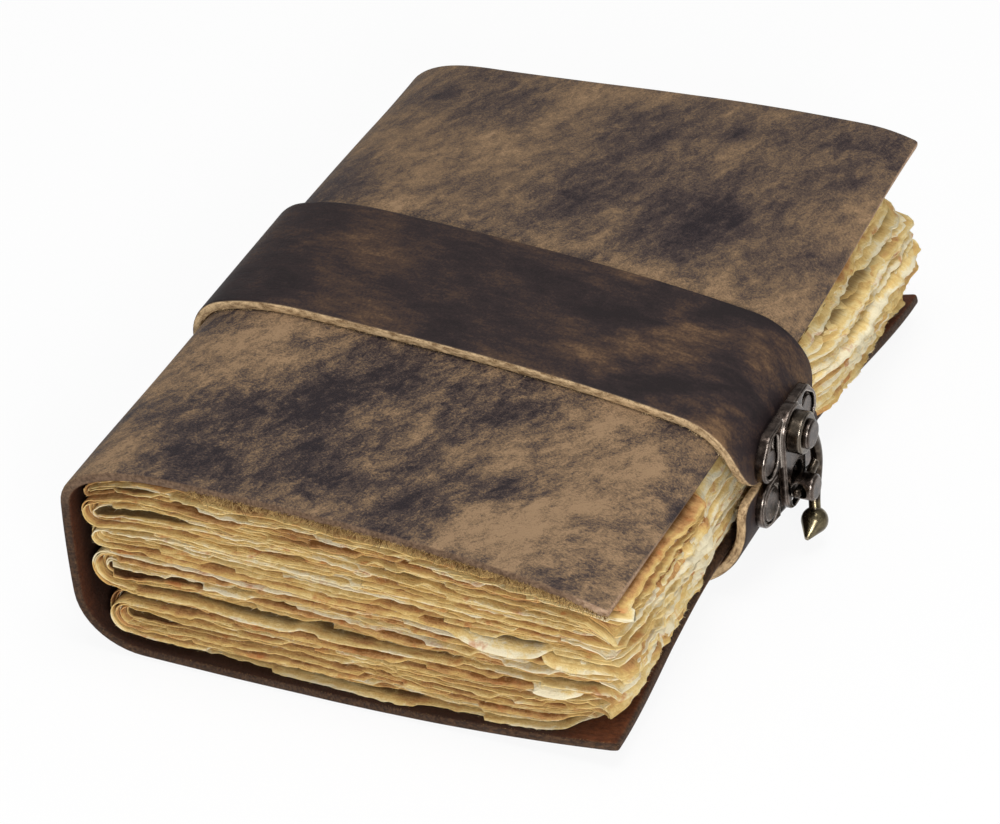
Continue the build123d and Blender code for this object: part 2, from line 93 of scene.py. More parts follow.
def end_shares(y):
    """How much of the near and of the far end's shape a place along the book has."""
    near = ease((PRESSED_Y[0] - y) / (COVER_END + PRESSED_Y[0]))
    far = ease((y - PRESSED_Y[1]) / (COVER_END - PRESSED_Y[1]))
    return near, far


def knots_at(y):
    """The cover's knots at a place along the book."""
    near, far = end_shares(y)
    mid = np.array(PRESSED, float)
    return mid + near * (np.array(NEAR, float) - mid) + far * (np.array(FAR, float) - mid)


def outward(knots, out):
    """The same knots moved away from the pages."""
    turn = np.radians(knots[:, 2])
    return np.column_stack([knots[:, 0] - out * np.sin(turn), knots[:, 1] + out * np.cos(turn), knots[:, 2]])


def bend(knots, shares):
    """Points along a bent sheet and their headings, at each span's shares between 0 and 1."""
    points, headings = [], []
    for (x0, z0, a0), (x1, z1, a1), share in zip(knots, knots[1:], shares):
        handle = hypot(x1 - x0, z1 - z0) / (3 * cos(radians(a1 - a0) / 4) ** 2)
        p0, p3 = np.array([x0, z0]), np.array([x1, z1])
        p1 = p0 + handle * np.array([cos(radians(a0)), sin(radians(a0))])
        p2 = p3 - handle * np.array([cos(radians(a1)), sin(radians(a1))])
        t = np.array(share)[:, None]
        s = 1 - t
        points.append(s ** 3 * p0 + 3 * s * s * t * p1 + 3 * s * t * t * p2 + t ** 3 * p3)
        headings.append(s * s * (p1 - p0) + 2 * s * t * (p2 - p1) + t * t * (p3 - p2))
    points, headings = np.concatenate(points), np.concatenate(headings)
    return points, headings / np.linalg.norm(headings, axis=1)[:, None]


def span_shares(knots, spacing):
    """Even shares along each span, with extra ones by the two cut ends."""
    lengths = [hypot(b[0] - a[0], b[1] - a[1]) for a, b in zip(knots, knots[1:])]
    shares = [np.arange(0, 1, 1 / max(2, round(length / spacing))) for length in lengths]
    first, last = shares[0], shares[-1]
    shares[0] = np.concatenate([CUT_STEPS / lengths[0], first[first * lengths[0] > EVEN_ALONG]])
    last = last[last * lengths[-1] < lengths[-1] - EVEN_ALONG]
    shares[-1] = np.concatenate([last, 1 - CUT_STEPS[::-1] / lengths[-1]])
    return shares


def length_lines(low, high, spacing):
    """Places along the book, with extra ones by the two cut ends."""
    middle = np.linspace(low + EVEN_ACROSS, high - EVEN_ACROSS, max(2, round((high - low) / spacing)))
    return np.concatenate([low + CUT_STEPS, middle, high - CUT_STEPS[::-1]])


def rounded_corners(place, along, y, heading, radii):
    """Moves a sheet's corner points in from the square corner to a round one, one radius for each end."""
    ends = [along, along[-1] - along]
    sides = [y - y[:, :1], y[:, -1:] - y]
    for end, (to_end, radius) in enumerate(zip(ends, radii)):
        for side, to_side in enumerate(sides):
            from_end, from_side = np.broadcast_arrays(radius - to_end[:, None], radius - to_side)
            corner = (from_end > 0) & (from_side > 0)
            reach = np.maximum(np.hypot(from_end, from_side), 1e-9)
            pull = np.where(corner, 1 - np.maximum(from_end, from_side) / reach, 0)
            step = pull * from_end * (1 if end == 0 else -1)
            place += heading * step[..., None]
            y += pull * from_side * (1 if side == 0 else -1)


def in_frame(x, y, z):
    """Book millimetres to the frame's metres."""
    return np.column_stack([np.ravel(x) * MM + SPINE_X, np.ravel(y) * MM, np.ravel(z) * MM])


def piece(name, points, faces, smooth=True, **facts):
    """A mesh object from points in metres, with named facts for its finish at each point."""
    mesh = bpy.data.meshes.new(name)
    mesh.from_pydata(points.tolist(), [], faces)
    mesh.update()
    for fact, values in facts.items():
        flat = np.ndim(values) == 1
        layer = mesh.attributes.new(fact, "FLOAT" if flat else "FLOAT_VECTOR", "POINT")
        layer.data.foreach_set("value" if flat else "vector", np.ravel(values).astype(np.float32))
    mesh.polygons.foreach_set("use_smooth", [smooth] * len(mesh.polygons))
    made = bpy.data.objects.new(name, mesh)
    bpy.context.scene.collection.objects.link(made)
    return made


def grid_faces(rows, columns, first=0, flip=False):
    """Quads of a grid of points."""
    i, j = np.meshgrid(np.arange(rows - 1), np.arange(columns - 1), indexing="ij")
    a = (first + i * columns + j).ravel()
    quads = np.column_stack([a, a + columns, a + columns + 1, a + 1])
    return (quads[:, ::-1] if flip else quads).tolist()


def leather_sheet(name, knots_along, lines, spacing, skew, radii, thickness, wave):
    """A bent sheet of leather with two faces and rounded cut edges."""
    shares = span_shares(knots_along(lines[len(lines) // 2]), spacing)
    bent = [bend(knots_along(y), shares) for y in lines]
    place = np.stack([points for points, _ in bent], axis=1)
    heading = np.stack([headings for _, headings in bent], axis=1)
    step = np.linalg.norm(np.diff(place[:, len(lines) // 2], axis=0), axis=1)
    along = np.concatenate([[0], np.cumsum(step)])
    y = np.broadcast_to(lines, place.shape[:2]) + skew(place[:, :1, 0])
    to_end = np.minimum(along, along[-1] - along)[:, None]
    to_cut = np.minimum(to_end, np.minimum(lines - lines[0], lines[-1] - lines))
    rounded_corners(place, along, y, heading, radii)
    inwards = np.stack([heading[..., 1], -heading[..., 0]], axis=2)
    uneven = wave * (ripple(along[:, None] / 31, y / 27, 3) + 0.5 * ripple(along[:, None] / 11, y / 12, 5))
    dip = np.clip(CUT_ROUND - to_cut, 0, None)
    depth = CUT_ROUND - np.sqrt(CUT_ROUND ** 2 - dip ** 2)
    rows, columns = y.shape
    outer = place + inwards * (depth + uneven)[..., None]
    inner = place + inwards * (thickness - depth + uneven)[..., None]
    points = [in_frame(face[..., 0], y, face[..., 1]) for face in (outer, inner)]
    faces = grid_faces(rows, columns) + grid_faces(rows, columns, rows * columns, flip=True)
    index = np.arange(rows * columns).reshape(rows, columns)
    rim = np.concatenate([index[:-1, 0], index[-1, :-1], index[:0:-1, -1], index[0, :0:-1]])
    follow = np.roll(rim, -1)
    back = rows * columns
    faces += np.column_stack([rim, rim + back, follow + back, follow]).tolist()
    depths = np.concatenate([depth.ravel(), (thickness - depth).ravel()]) / thickness
    flat = np.stack(np.broadcast_arrays(along[:, None], y, 0 * y), axis=2).reshape(-1, 3)
    return piece(name, np.concatenate(points), faces, depth=depths, flat=np.concatenate([flat, flat]))


def straight(x):
    """No sideways drift."""
    return 0 * x


COVER_SPACING = 1.5
COVER_WAVE = 0.12
cover_lines = length_lines(-COVER_END, COVER_END, COVER_SPACING)
cover = leather_sheet("cover_leather", knots_at, cover_lines, COVER_SPACING, straight,
                      (COVER_CORNER_R, COVER_CORNER_R), COVER_T, COVER_WAVE)

# Rubbed dye marks on the front board: place across and along, size with and against the rub, strength.
RUB_DEG = 62.0
DARK_MARKS = [
    (44, -64, 17, 10, 0.8), (47, -51, 18, 10, 0.75), (54, -35, 14, 11, 0.9), (80, -38, 16, 10, 0.9),
    (76, -78, 16, 9, 1.0), (53, -78, 13, 9, 0.9), (26, -78, 17, 10, 0.85), (118, -87, 5, 3, 0.9),
    (24, 77, 14, 15, 1.1), (66, 47, 18, 12, 1.4), (99, 43, 16, 10, 2.4), (91, 77, 5, 4, 1.6),
    (119, 84, 10, 9, 0.9), (12, 31, 9, 9, 0.8), (72, 74, 15, 10, 0.8), (4, 22, 9, 7, 0.8),
    (64, -60, 11, 8, 0.7), (96, -58, 10, 6, 0.5), (42, 66, 9, 7, 0.6), (86, 55, 12, 8, 0.7),
    (30, -56, 12, 7, 0.6), (126, 74, 10, 8, 0.9), (115, 63, 12, 9, 0.8), (122, 44, 8, 6, 0.7),
]
PALE_MARKS = [
    (17, -35, 16, 10, 0.8), (111, -66, 16, 10, 0.9), (95, -79, 9, 6, 0.6), (43, 59, 12, 7, 0.5),
    (99, 27, 14, 8, 0.8), (122, 25, 9, 7, 0.8), (27, 50, 12, 8, 0.6), (130, 66, 9, 6, 0.6),
    (114, -40, 12, 9, 0.7), (66, -84, 6, 4, 0.4),
]
# Heights over which the front board begins, and where its marks turn softer past the strap.
FRONT_Z, FRONT_RISE = 36, 8
SOFT_Y, SOFT_LENGTH, SOFTER = 10, 25, 0.36
# Distances from the spine: the front board's cut edge is painted pale by the fore-edge as a highlight.
HIGHLIGHT_X, HIGHLIGHT_LENGTH, LEAST_HIGHLIGHT = 119, 8, 0.25
# Painted shade: the suede darkens by the spine, and on the back board short of its free edge.
SHADE_SPINE_X, SHADE_SPINE_LENGTH = 4, 30
SHADE_BACK_X, SHADE_BACK_LENGTH = 112, 12


def marks(across, along, spots):
    """Sum of soft oval marks at places on the front board."""
    turn = radians(RUB_DEG)
    total = np.zeros(len(across))
    for x, y, long, short, strength in spots:
        u = (across - x) * cos(turn) + (along - y) * sin(turn)
        v = (along - y) * cos(turn) - (across - x) * sin(turn)
        total += strength * np.exp(-(u / long) ** 2 - (v / short) ** 2)
    return total


def mesh_places(made):
    """Each point's distance from the spine, place along the book and height, in millimetres."""
    points = np.zeros(len(made.data.vertices) * 3)
    made.data.vertices.foreach_get("co", points)
    points = points.reshape(-1, 3)
    return points[:, 0] / MM - SPINE_X / MM, points[:, 1] / MM, points[:, 2] / MM


def add_fact(made, name, values):
    """A number at each point of a mesh, for its finish."""
    layer = made.data.attributes.new(name, "FLOAT", "POINT")
    layer.data.foreach_set("value", values.astype(np.float32))


def front_stain(made):
    """The dye's marks and their crispness, plainer past the front board, the painted highlight on the cut edge
    and the painted shade on the suede.
    """
    x, y, z = mesh_places(made)
    front = ease((z - FRONT_Z) / FRONT_RISE)
    other = 0.35 + 0.5 * ripple(x / 24 + z / 19, y / 30, 11)
    stain = front * (marks(x, y, DARK_MARKS) - marks(x, y, PALE_MARKS)) + (1 - front) * other
    # Painted highlight on the front board's cut edge: a little all along it, most by the fore-edge.
    painted_edge_highlight = LEAST_HIGHLIGHT * front + (1 - LEAST_HIGHLIGHT) * front * ease((x - HIGHLIGHT_X) / HIGHLIGHT_LENGTH)
    shade_by_spine = 1 - ease((x - SHADE_SPINE_X) / SHADE_SPINE_LENGTH)
    shade_by_back = (1 - front) * (1 - ease((x - SHADE_BACK_X) / SHADE_BACK_LENGTH))
    less_shade_by_end = ease((z - 6) / 8) * (1 - ease((COVER_END - 1 - np.abs(y)) / 5))
    # Painted shade on the suede by the spine and on the back board, with less of it near the two cut ends above
    # the back board.
    painted_suede_shade = np.maximum(shade_by_spine, shade_by_back) * (1 - 0.55 * less_shade_by_end)
    crisp = 1 - SOFTER * front * ease((y - SOFT_Y) / SOFT_LENGTH)
    for name, values in (("stain", stain), ("painted_edge_highlight", painted_edge_highlight), ("painted_suede_shade", painted_suede_shade), ("crisp", crisp)):
        add_fact(made, name, values)


front_stain(cover)


def srgb(red, green, blue):
    """A colour as it looks on a screen, 0 to 255, to the renderer's values."""
    parts = [c / 255 for c in (red, green, blue)]
    return [c / 12.92 if c <= 0.04045 else ((c + 0.055) / 1.055) ** 2.4 for c in parts] + [1]


def new_finish(name):
    """An empty material, its nodes and its shader."""
    finish = bpy.data.materials.new(name)
    finish.use_nodes = True
    return finish, finish.node_tree, finish.node_tree.nodes["Principled BSDF"]


def feed(tree, slot, value):
    """Gives a node's input a value, or joins it to another node's socket."""
    if isinstance(value, bpy.types.NodeSocket):
        tree.links.new(value, slot)
    else:
        slot.default_value = value


def put(tree, kind, inputs=(), **settings):
    """A node with its settings, and its inputs by name as values or joined sockets."""
    node = tree.nodes.new("ShaderNode" + kind)
    for name, value in settings.items():
        setattr(node, name, value)
    for name, value in dict(inputs).items():
        feed(tree, node.inputs[name], value)
    return node


def fact(tree, name, kind="Fac"):
    """A named fact of the mesh."""
    return put(tree, "Attribute", attribute_name=name).outputs[kind]


def maths(tree, operation, *values, clamp=False):
    """One sum."""
    node = put(tree, "Math", operation=operation, use_clamp=clamp)
    for slot, value in zip(node.inputs, values):
        feed(tree, slot, value)
    return node.outputs[0]


def step(tree, value, low, high):
    """0 below low, 1 above high and smooth between."""
    limits = {"Value": value, "From Min": low, "From Max": high}
    return put(tree, "MapRange", limits, interpolation_type="SMOOTHSTEP").outputs[0]


def between(tree, value, low, high):
    """0 to 1 spread evenly from low to high."""
    return put(tree, "MapRange", {"Value": value, "To Min": low, "To Max": high}).outputs[0]


def cloud(tree, where, size, detail=4.0, rough=0.55, stretch=(1, 1, 1), twist=0.0):
    """Uneven cloud with patches of about this size in the units of where, between about 0.2 and 0.8."""
    scaled = put(tree, "Mapping", {"Vector": where, "Scale": [s / size for s in stretch]}).outputs[0]
    noise = {"Vector": scaled, "Scale": 1.0, "Detail": detail, "Roughness": rough, "Distortion": twist}
    return put(tree, "TexNoise", noise).outputs[0]


def blend_colour(tree, share, first, second):
    """Two colours mixed by a share. The Mix node's colours are its inputs 6 and 7 and its output 2."""
    node = put(tree, "Mix", data_type="RGBA", clamp_factor=True)
    for slot, value in zip((node.inputs[0], node.inputs[6], node.inputs[7]), (share, first, second)):
        feed(tree, slot, value)
    return node.outputs[2]


def surface(tree, shader, colour, rough, gloss):
    """A shader's colour, roughness and how much it reflects."""
    for name, value in (("Base Color", colour), ("Roughness", rough), ("Specular IOR Level", gloss)):
        feed(tree, shader.inputs[name], value)


def relief(tree, shader, height, strength, distance):
    """Small surface relief, its depth in metres."""
    bump = put(tree, "Bump", {"Height": height, "Strength": strength, "Distance": distance})
    tree.links.new(bump.outputs[0], shader.inputs["Normal"])


def ramp(tree, value, stops):
    """A run of colours by place between 0 and 1."""
    node = put(tree, "ValToRGB", {"Fac": value})
    band = node.color_ramp
    band.elements[0].position, band.elements[0].color = stops[0]
    band.elements[1].position, band.elements[1].color = stops[-1]
    for place, colour in stops[1:-1]:
        band.elements.new(place).color = colour
    return node.outputs["Color"]


def centred(tree, value, size, onto):
    """Adds a value's swing about one half, so many times over, to another."""
    return maths(tree, "MULTIPLY_ADD", maths(tree, "SUBTRACT", value, 0.5), size, onto)


def through_sheet(tree, flat):
    """A place along, across and through a sheet, in millimetres."""
    level = put(tree, "CombineXYZ", {"Z": maths(tree, "MULTIPLY", fact(tree, "depth"), COVER_T)}).outputs[0]
    return put(tree, "VectorMath", {0: flat, 1: level}, operation="ADD").outputs[0]


def cover_finish():
    """Tan leather with black rubbed dye outside, red-brown suede inside with painted shade by the spine, and
    bare brown cut edges with a painted highlight by the fore-edge.
    """
    finish, tree, shader = new_finish("mottled_cover_leather")
    flat = fact(tree, "flat", "Vector")
    rub = {"Vector": flat, "Angle": radians(-RUB_DEG)}
    turned = put(tree, "VectorRotate", rub, rotation_type="Z_AXIS").outputs[0]
    broad = cloud(tree, turned, 18.0, 6, 0.6, (0.75, 1.1, 1), 0.35)
    blots = cloud(tree, turned, 6.5, 7, 0.7, (0.72, 1.15, 1), 0.5)
    strokes = cloud(tree, turned, 2.2, 6, 0.72, (0.7, 1.2, 1), 0.5)
    grit = cloud(tree, flat, 0.55, 4, 0.85)
    dye = maths(tree, "MULTIPLY_ADD", fact(tree, "stain"), 0.25, 0.46)
    for uneven, swing in ((broad, 1.2), (blots, 1.3), (strokes, 1.0), (grit, 1.6)):
        dye = centred(tree, uneven, swing, dye)
    dye = centred(tree, dye, fact(tree, "crisp"), 0.52)
    outside = ramp(tree, dye, [(0.2, srgb(160, 131, 100)), (0.39, srgb(132, 107, 81)),
                               (0.54, srgb(102, 84, 69)), (0.71, srgb(68, 56, 54)), (0.9, srgb(38, 30, 34))])
    fibre = cloud(tree, through_sheet(tree, flat), 0.8, 4, 0.75)
    # Painted highlight: a pale, lit copy of the cut edge's colour, laid on the front board's edge by the
    # fore-edge.
    painted_edge_highlight = blend_colour(tree, step(tree, fibre, 0.3, 0.7), srgb(146, 114, 88), srgb(204, 172, 142))
    dark_edge = blend_colour(tree, step(tree, fibre, 0.35, 0.75), srgb(48, 32, 22), srgb(98, 70, 48))
    edge = blend_colour(tree, fact(tree, "painted_edge_highlight"), dark_edge, painted_edge_highlight)
    suede = blend_colour(tree, step(tree, fibre, 0.3, 0.7), srgb(74, 38, 21), srgb(110, 62, 36))
    # Painted shade: the suede is darkened towards near black by the spine and on the back board.
    suede = blend_colour(tree, maths(tree, "MULTIPLY", fact(tree, "painted_suede_shade"), 0.8), suede, srgb(24, 15, 10))
    depth = fact(tree, "depth")
    colour = blend_colour(tree, step(tree, depth, 0.02, 0.16), outside, edge)
    colour = blend_colour(tree, step(tree, depth, 0.84, 0.98), colour, suede)
    surface(tree, shader, colour, between(tree, dye, 0.8, 0.48), 0.22)
    relief(tree, shader, maths(tree, "MULTIPLY_ADD", strokes, 1.2, grit), 0.8, 0.0005)
    return finish


cover.data.materials.append(cover_finish())
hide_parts("cover")
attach(cover, "journal")

# Loose fibres of the cover's cut ends: how wide each one is, and how its shade shifts from the root to the tip,
# darker at the root as painted shade.
FIBRE_W = 0.13
FIBRE_ROOT_SHADE = (-0.5, -0.5, 0.0, 0.0, 0.2)


def cut_fibres(name, knots, y, drift, out, depths, length, for_each_mm, seed):
    """Fine loose fibres that stand out from one cut end of a sheet, their tips a little fallen."""
    chance = np.random.default_rng(seed)
    points, headings = bend(knots, [np.linspace(0, 1, 60)] * (len(knots) - 1))
    along = np.concatenate([[0], np.cumsum(np.linalg.norm(np.diff(points, axis=0), axis=1))])
    count = round(along[-1] * for_each_mm)
    spot = chance.uniform(0, along[-1], count)
    place = np.column_stack([np.interp(spot, along, points[:, k]) for k in (0, 1)])
    heading = np.column_stack([np.interp(spot, along, headings[:, k]) for k in (0, 1)])
    inward = np.column_stack([heading[:, 1], -heading[:, 0]])
    place = place + inward * (COVER_T * chance.uniform(*depths, count))[:, None]
    root = np.column_stack([place[:, 0], y + drift(place[:, 0]) - 0.1 * out, place[:, 1]])
    run, sink = [np.column_stack([way[:, 0], 0 * spot, way[:, 1]]) for way in (heading, inward)]
    lean = chance.uniform(-1.3, 1.3, count)[:, None] * run
    lean = lean + chance.uniform(-0.1, 1.1, count)[:, None] * sink
    lean[:, 1] += out * chance.uniform(0.3, 0.9, count)
    tuft = 0.5 + 0.3 * ripple(spot / 27.0, spot / 31.0, seed + 1) + 0.2 * ripple(spot / 2.3, spot / 9.0, seed)
    long = (chance.uniform(*length, count) * tuft)[:, None]
    half = root + lean * long * 0.55
    tip = root + lean * long * np.array([1, 1, 0.8]) - np.array([0, 0, 0.12]) * long
    side = run * FIBRE_W / 2
    made = np.stack([root - side, root + side, half + side * 0.8, half - side * 0.8, tip], axis=1)
    made = made.reshape(-1, 3)
    first = 5 * np.arange(count)
    faces = np.column_stack([first, first + 1, first + 2, first + 3]).tolist()
    faces += np.column_stack([first + 3, first + 2, first + 4]).tolist()
    # Each fibre's own tone, darkened towards its root as painted shade and a little lighter at its tip.
    shade = np.repeat(chance.uniform(0, 1, count), 5) + np.tile(FIBRE_ROOT_SHADE, count)
    return piece(name, in_frame(made[:, 0], made[:, 1], made[:, 2]), faces, shade=shade)


def fibre_finish(name, dark, pale):
    """Bare leather fibre, each one its own tone, darkened towards its root as painted shade."""
    finish, tree, shader = new_finish(name)
    worn = cloud(tree, put(tree, "TexCoord").outputs["Object"], 0.003, 3, 0.6)
    shade = centred(tree, worn, 0.8, fact(tree, "shade"))
    surface(tree, shader, ramp(tree, shade, [(0.0, dark), (1.0, pale)]), 0.9, 0.1)
    return finish


golden_fibre = fibre_finish("golden_leather_fibre", srgb(74, 48, 24), srgb(196, 162, 106))
# Each fringe: near or far end, the knots it runs between, depths in the sheet, lengths, fibres for each mm.
FRINGES = [
    (-1, slice(6, None), (0.5, 1.0), (1.0, 4.2), 24.0),
    (-1, slice(0, 6), (0.2, 1.0), (0.25, 0.8), 12.0),
    (1, slice(5, None), (0.55, 1.0), (0.6, 1.4), 8.0),
]
FRINGE_SEED = 7
for number, (out, spans, depths, length, dense) in enumerate(FRINGES):
    edge_y = out * (COVER_END - CUT_ROUND / 4)
    knots = knots_at(edge_y)[spans]
    fringe = cut_fibres(f"cover_fibres_{number + 1}", knots, edge_y, straight, out, depths, length, dense,
                        FRINGE_SEED + number)
    fringe.data.materials.append(golden_fibre)
    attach(fringe, "journal")

# Pages: sections of thick handmade rag paper, folded over one another and sewn through their folds.
# Every leaf has torn deckle edges that have gone soft and fallen over the next leaf, stained with age.
PAGE_GAP = 0.3
PAPER_T = 0.37
PAGE_END = COVER_END - 0.6
# Each section: its share of the block's height, its sheets, how far its fold sits from the spine, its slit.
SECTIONS = [(0.29, 9, 5.2, 20), (0.25, 8, 2.7, 22), (0.17, 5, 3.0, 4), (0.20, 6, 2.6, 24), (0.09, 2, 2.6, 1)]
SLIT_LENGTH = 11.0
# The block is lower by the spine, and sinks under the near edge of the front board but not at its corners.
SPINE_SLACK, SLACK_X, SLACK_HALF = 1.5, 14, 24
NEAR_SINK, SINK_Y, SINK_LENGTH = 2.8, -70, 15
SINK_FROM, SINK_RISE, SINK_TO, SINK_FADE = 12, 34, 128, 30
LEAF_STEP = 0.85
LEAF_X = 122
FOLD_STEPS = 13
# Rows of points by a torn edge and the paper's half thickness there. A leaf's inside counts as this far in.
DECKLE_ROWS = np.array([0.0, 0.3, 1.0, 2.6, 6.0])
DECKLE_HALF = np.array([0.25, 0.42, 0.5, 0.5, 0.5]) * PAPER_T
INSIDE = 9.0
# How far and over what length the torn ends and fore-edges fall, and how flaps lie over shorter leaves.
END_FALL, END_FALL_LENGTH = 0.3, 1.0
FORE_FALL, FORE_FALL_LENGTH = 4.2, 3.6
FLAP_EVERY, FLAP_BACK = 4, 2.4
# How far the leaves reach by height in the block: at the near end, at the far end and under the strap.
FORE_NEAR = ([0.0, 0.15, 0.4, 0.7, 0.9, 1.0], [124.5, 126.5, 129.0, 130.0, 130.0, 130.5])
FORE_FAR = ([0.0, 0.15, 0.35, 0.6, 0.72, 0.78, 0.88, 1.0],
            [125.0, 127.5, 130.0, 131.5, 131.0, 128.5, 125.0, 121.0])
FORE_HELD = ([0.0, 0.08, 0.2, 0.4, 0.6, 0.8, 0.92, 1.0],
             [115.5, 120.0, 124.5, 128.0, 128.5, 126.3, 122.5, 118.5])
NEAR_CORNER_R = ([0.0, 0.25, 0.5, 1.0], [15.0, 10.0, 6.0, 3.5])
FAR_CORNER_R = 4.0
# One leaf near the top has a loose tip that stands out past the front board's near corner.
LOOSE_SHARE, LOOSE_NEAR, LOOSE_Y, LOOSE_HALF, LOOSE_OUT = 0.965, 0.02, -84.0, 3.0, 5.0
# Torn flaps that hang over lower leaves at the near end: section, leaf, place across, half its length, drop.
END_FLAPS = [(2, 1, 97.0, 9.0, 2.3), (2, 0, 113.0, 6.0, 2.2), (1, 1, 116.0, 6.0, 1.7)]
FIBRES_FOR_EACH_MM, PAPER_FIBRE_W, PAPER_FIBRE_L = 2.2, 0.1, (0.25, 1.0)


def inner_face(knots, top):
    """Across and height along the inner face of the front or back board."""
    shares = [np.linspace(0, 1, 40)] * (len(knots) - 1)
    points, headings = bend(knots, shares)
    points = points + COVER_T * np.column_stack([headings[:, 1], -headings[:, 0]])
    board = points[len(points) // 2:] if top else points[:len(points) // 2][::-1]
    rising = np.concatenate([[True], np.diff(np.maximum.accumulate(board[:, 0])) > 0])
    return board[rising].T


BOARDS = {top: [inner_face(np.array(k, float), top) for k in (PRESSED, NEAR, FAR)] for top in (False, True)}


def board_height(x, y, top):
    """Height of a board's inner face over the pages, where the leaves end."""
    near, far = end_shares(y)
    mid, low, high = [np.interp(x, *face) for face in BOARDS[top]]
    far_share = 0.25 * far if top else far
    return mid + near * (low - mid) + far_share * (high - mid)


def leaf_height(section, leaf, x, y, fold):
    """Height of one leaf of a section, the gaps between leaves wandering and a slit open at the fold."""
    share, sheets, _, slit = SECTIONS[section]
    low = board_height(x, y, False) + PAGE_GAP
    high = board_height(x, y, True) - PAGE_GAP - SPINE_SLACK * np.exp(-((x - SLACK_X) / SLACK_HALF) ** 2)
    sink = NEAR_SINK * ease((SINK_Y - y) / SINK_LENGTH)
    high = high - sink * ease((x - SINK_FROM) / SINK_RISE) * ease((SINK_TO - x) / SINK_FADE)
    start = sum(s[0] for s in SECTIONS[:section])
    air, below = 0, 0
    for gap in range(2 * sheets + 1):
        seed = 40 * section + gap
        wander = 1.3 * ripple(x / 47 + seed, y / 41, seed) + 0.6 * ripple(x / 13, y / 12 + seed, seed + 7)
        size = np.exp(wander)
        if gap in (0, 2 * sheets):
            size = 0.8 * size + 2.0 * np.exp(-(x - fold) / 6)
        if gap == sheets:
            size = size + slit * np.exp(-(x - fold) / SLIT_LENGTH)
        air = air + size
        below = below + size * (gap <= leaf)
    paper = 2 * sheets * PAPER_T
    room = np.maximum(share * (high - low) - paper, 0.2 * paper)
    lift = (below / air * room + (leaf + 0.5) * PAPER_T) / (room + paper)
    return low + (high - low) * (start + share * lift)


def fore_edge(height_share, y, seed, flap):
    """How far a leaf reaches, held in by the strap and freer by the ends, its flaps over shorter leaves."""
    near, far = [ease(3.5 * np.sqrt(share)) for share in end_shares(y)]
    held, at_near, at_far = [np.interp(height_share, *table) for table in (FORE_HELD, FORE_NEAR, FORE_FAR)]
    reach = held + near * (at_near - held) + far * (at_far - held)
    torn = 1.5 * ripple(y / 43, 0.5 * y / 31, seed) + 0.6 * ripple(y / 15, y / 17, seed + 1)
    torn = torn + 0.35 * ripple(y / 3.1, y / 5, seed + 2) + 0.3 * ripple(y / 1.4, y / 3, seed + 6)
    torn = torn - FLAP_BACK * (1 - flap) * (0.6 + 0.4 * lattice(seed, 5, 13))
    loose = 0
    if abs(height_share - LOOSE_SHARE) < LOOSE_NEAR:
        loose = LOOSE_OUT * np.exp(-((y - LOOSE_Y) / LOOSE_HALF) ** 6)
    return reach + (0.5 + 0.8 * (near + far)) * torn + 0.2 + loose


def torn_end(u, seed):
    """How far a leaf's end is torn back, along the sheet, with some steps where a strip has come away."""
    torn = 0.9 * ripple(u / 41, u / 61, seed) + 0.5 * ripple(u / 17, u / 19, seed + 1)
    torn = torn + 0.25 * ripple(u / 2.3, u / 7, seed + 6) + 0.25 * ripple(u / 1.6, u / 4.7, seed + 2)
    torn = torn + 1.5 * ease((ripple(u / 10, u / 23, seed + 8) - 0.25) / 0.12)
    short = 2.6 * (0.5 + 0.5 * lattice(seed, 3, 9)) ** 1.5
    return np.maximum(1.2 + short + torn, 0.3)


def round_leaf_corners(x, y, reach, near, far, radii):
    """Pulls a leaf's two free corners in to round ones, one radius for each end."""
    to_fore = reach - x
    for side, to_end, radius in ((1, y - near, radii[0]), (-1, far - y, radii[1])):
        from_fore, from_end = radius - to_fore, radius - to_end
        corner = (from_fore > 0) & (from_end > 0)
        apart = np.maximum(np.hypot(from_fore, from_end), 1e-9)
        pull = np.where(corner, 1 - np.maximum(from_fore, from_end) / apart, 0)
        x -= pull * from_fore
        y += side * pull * from_end


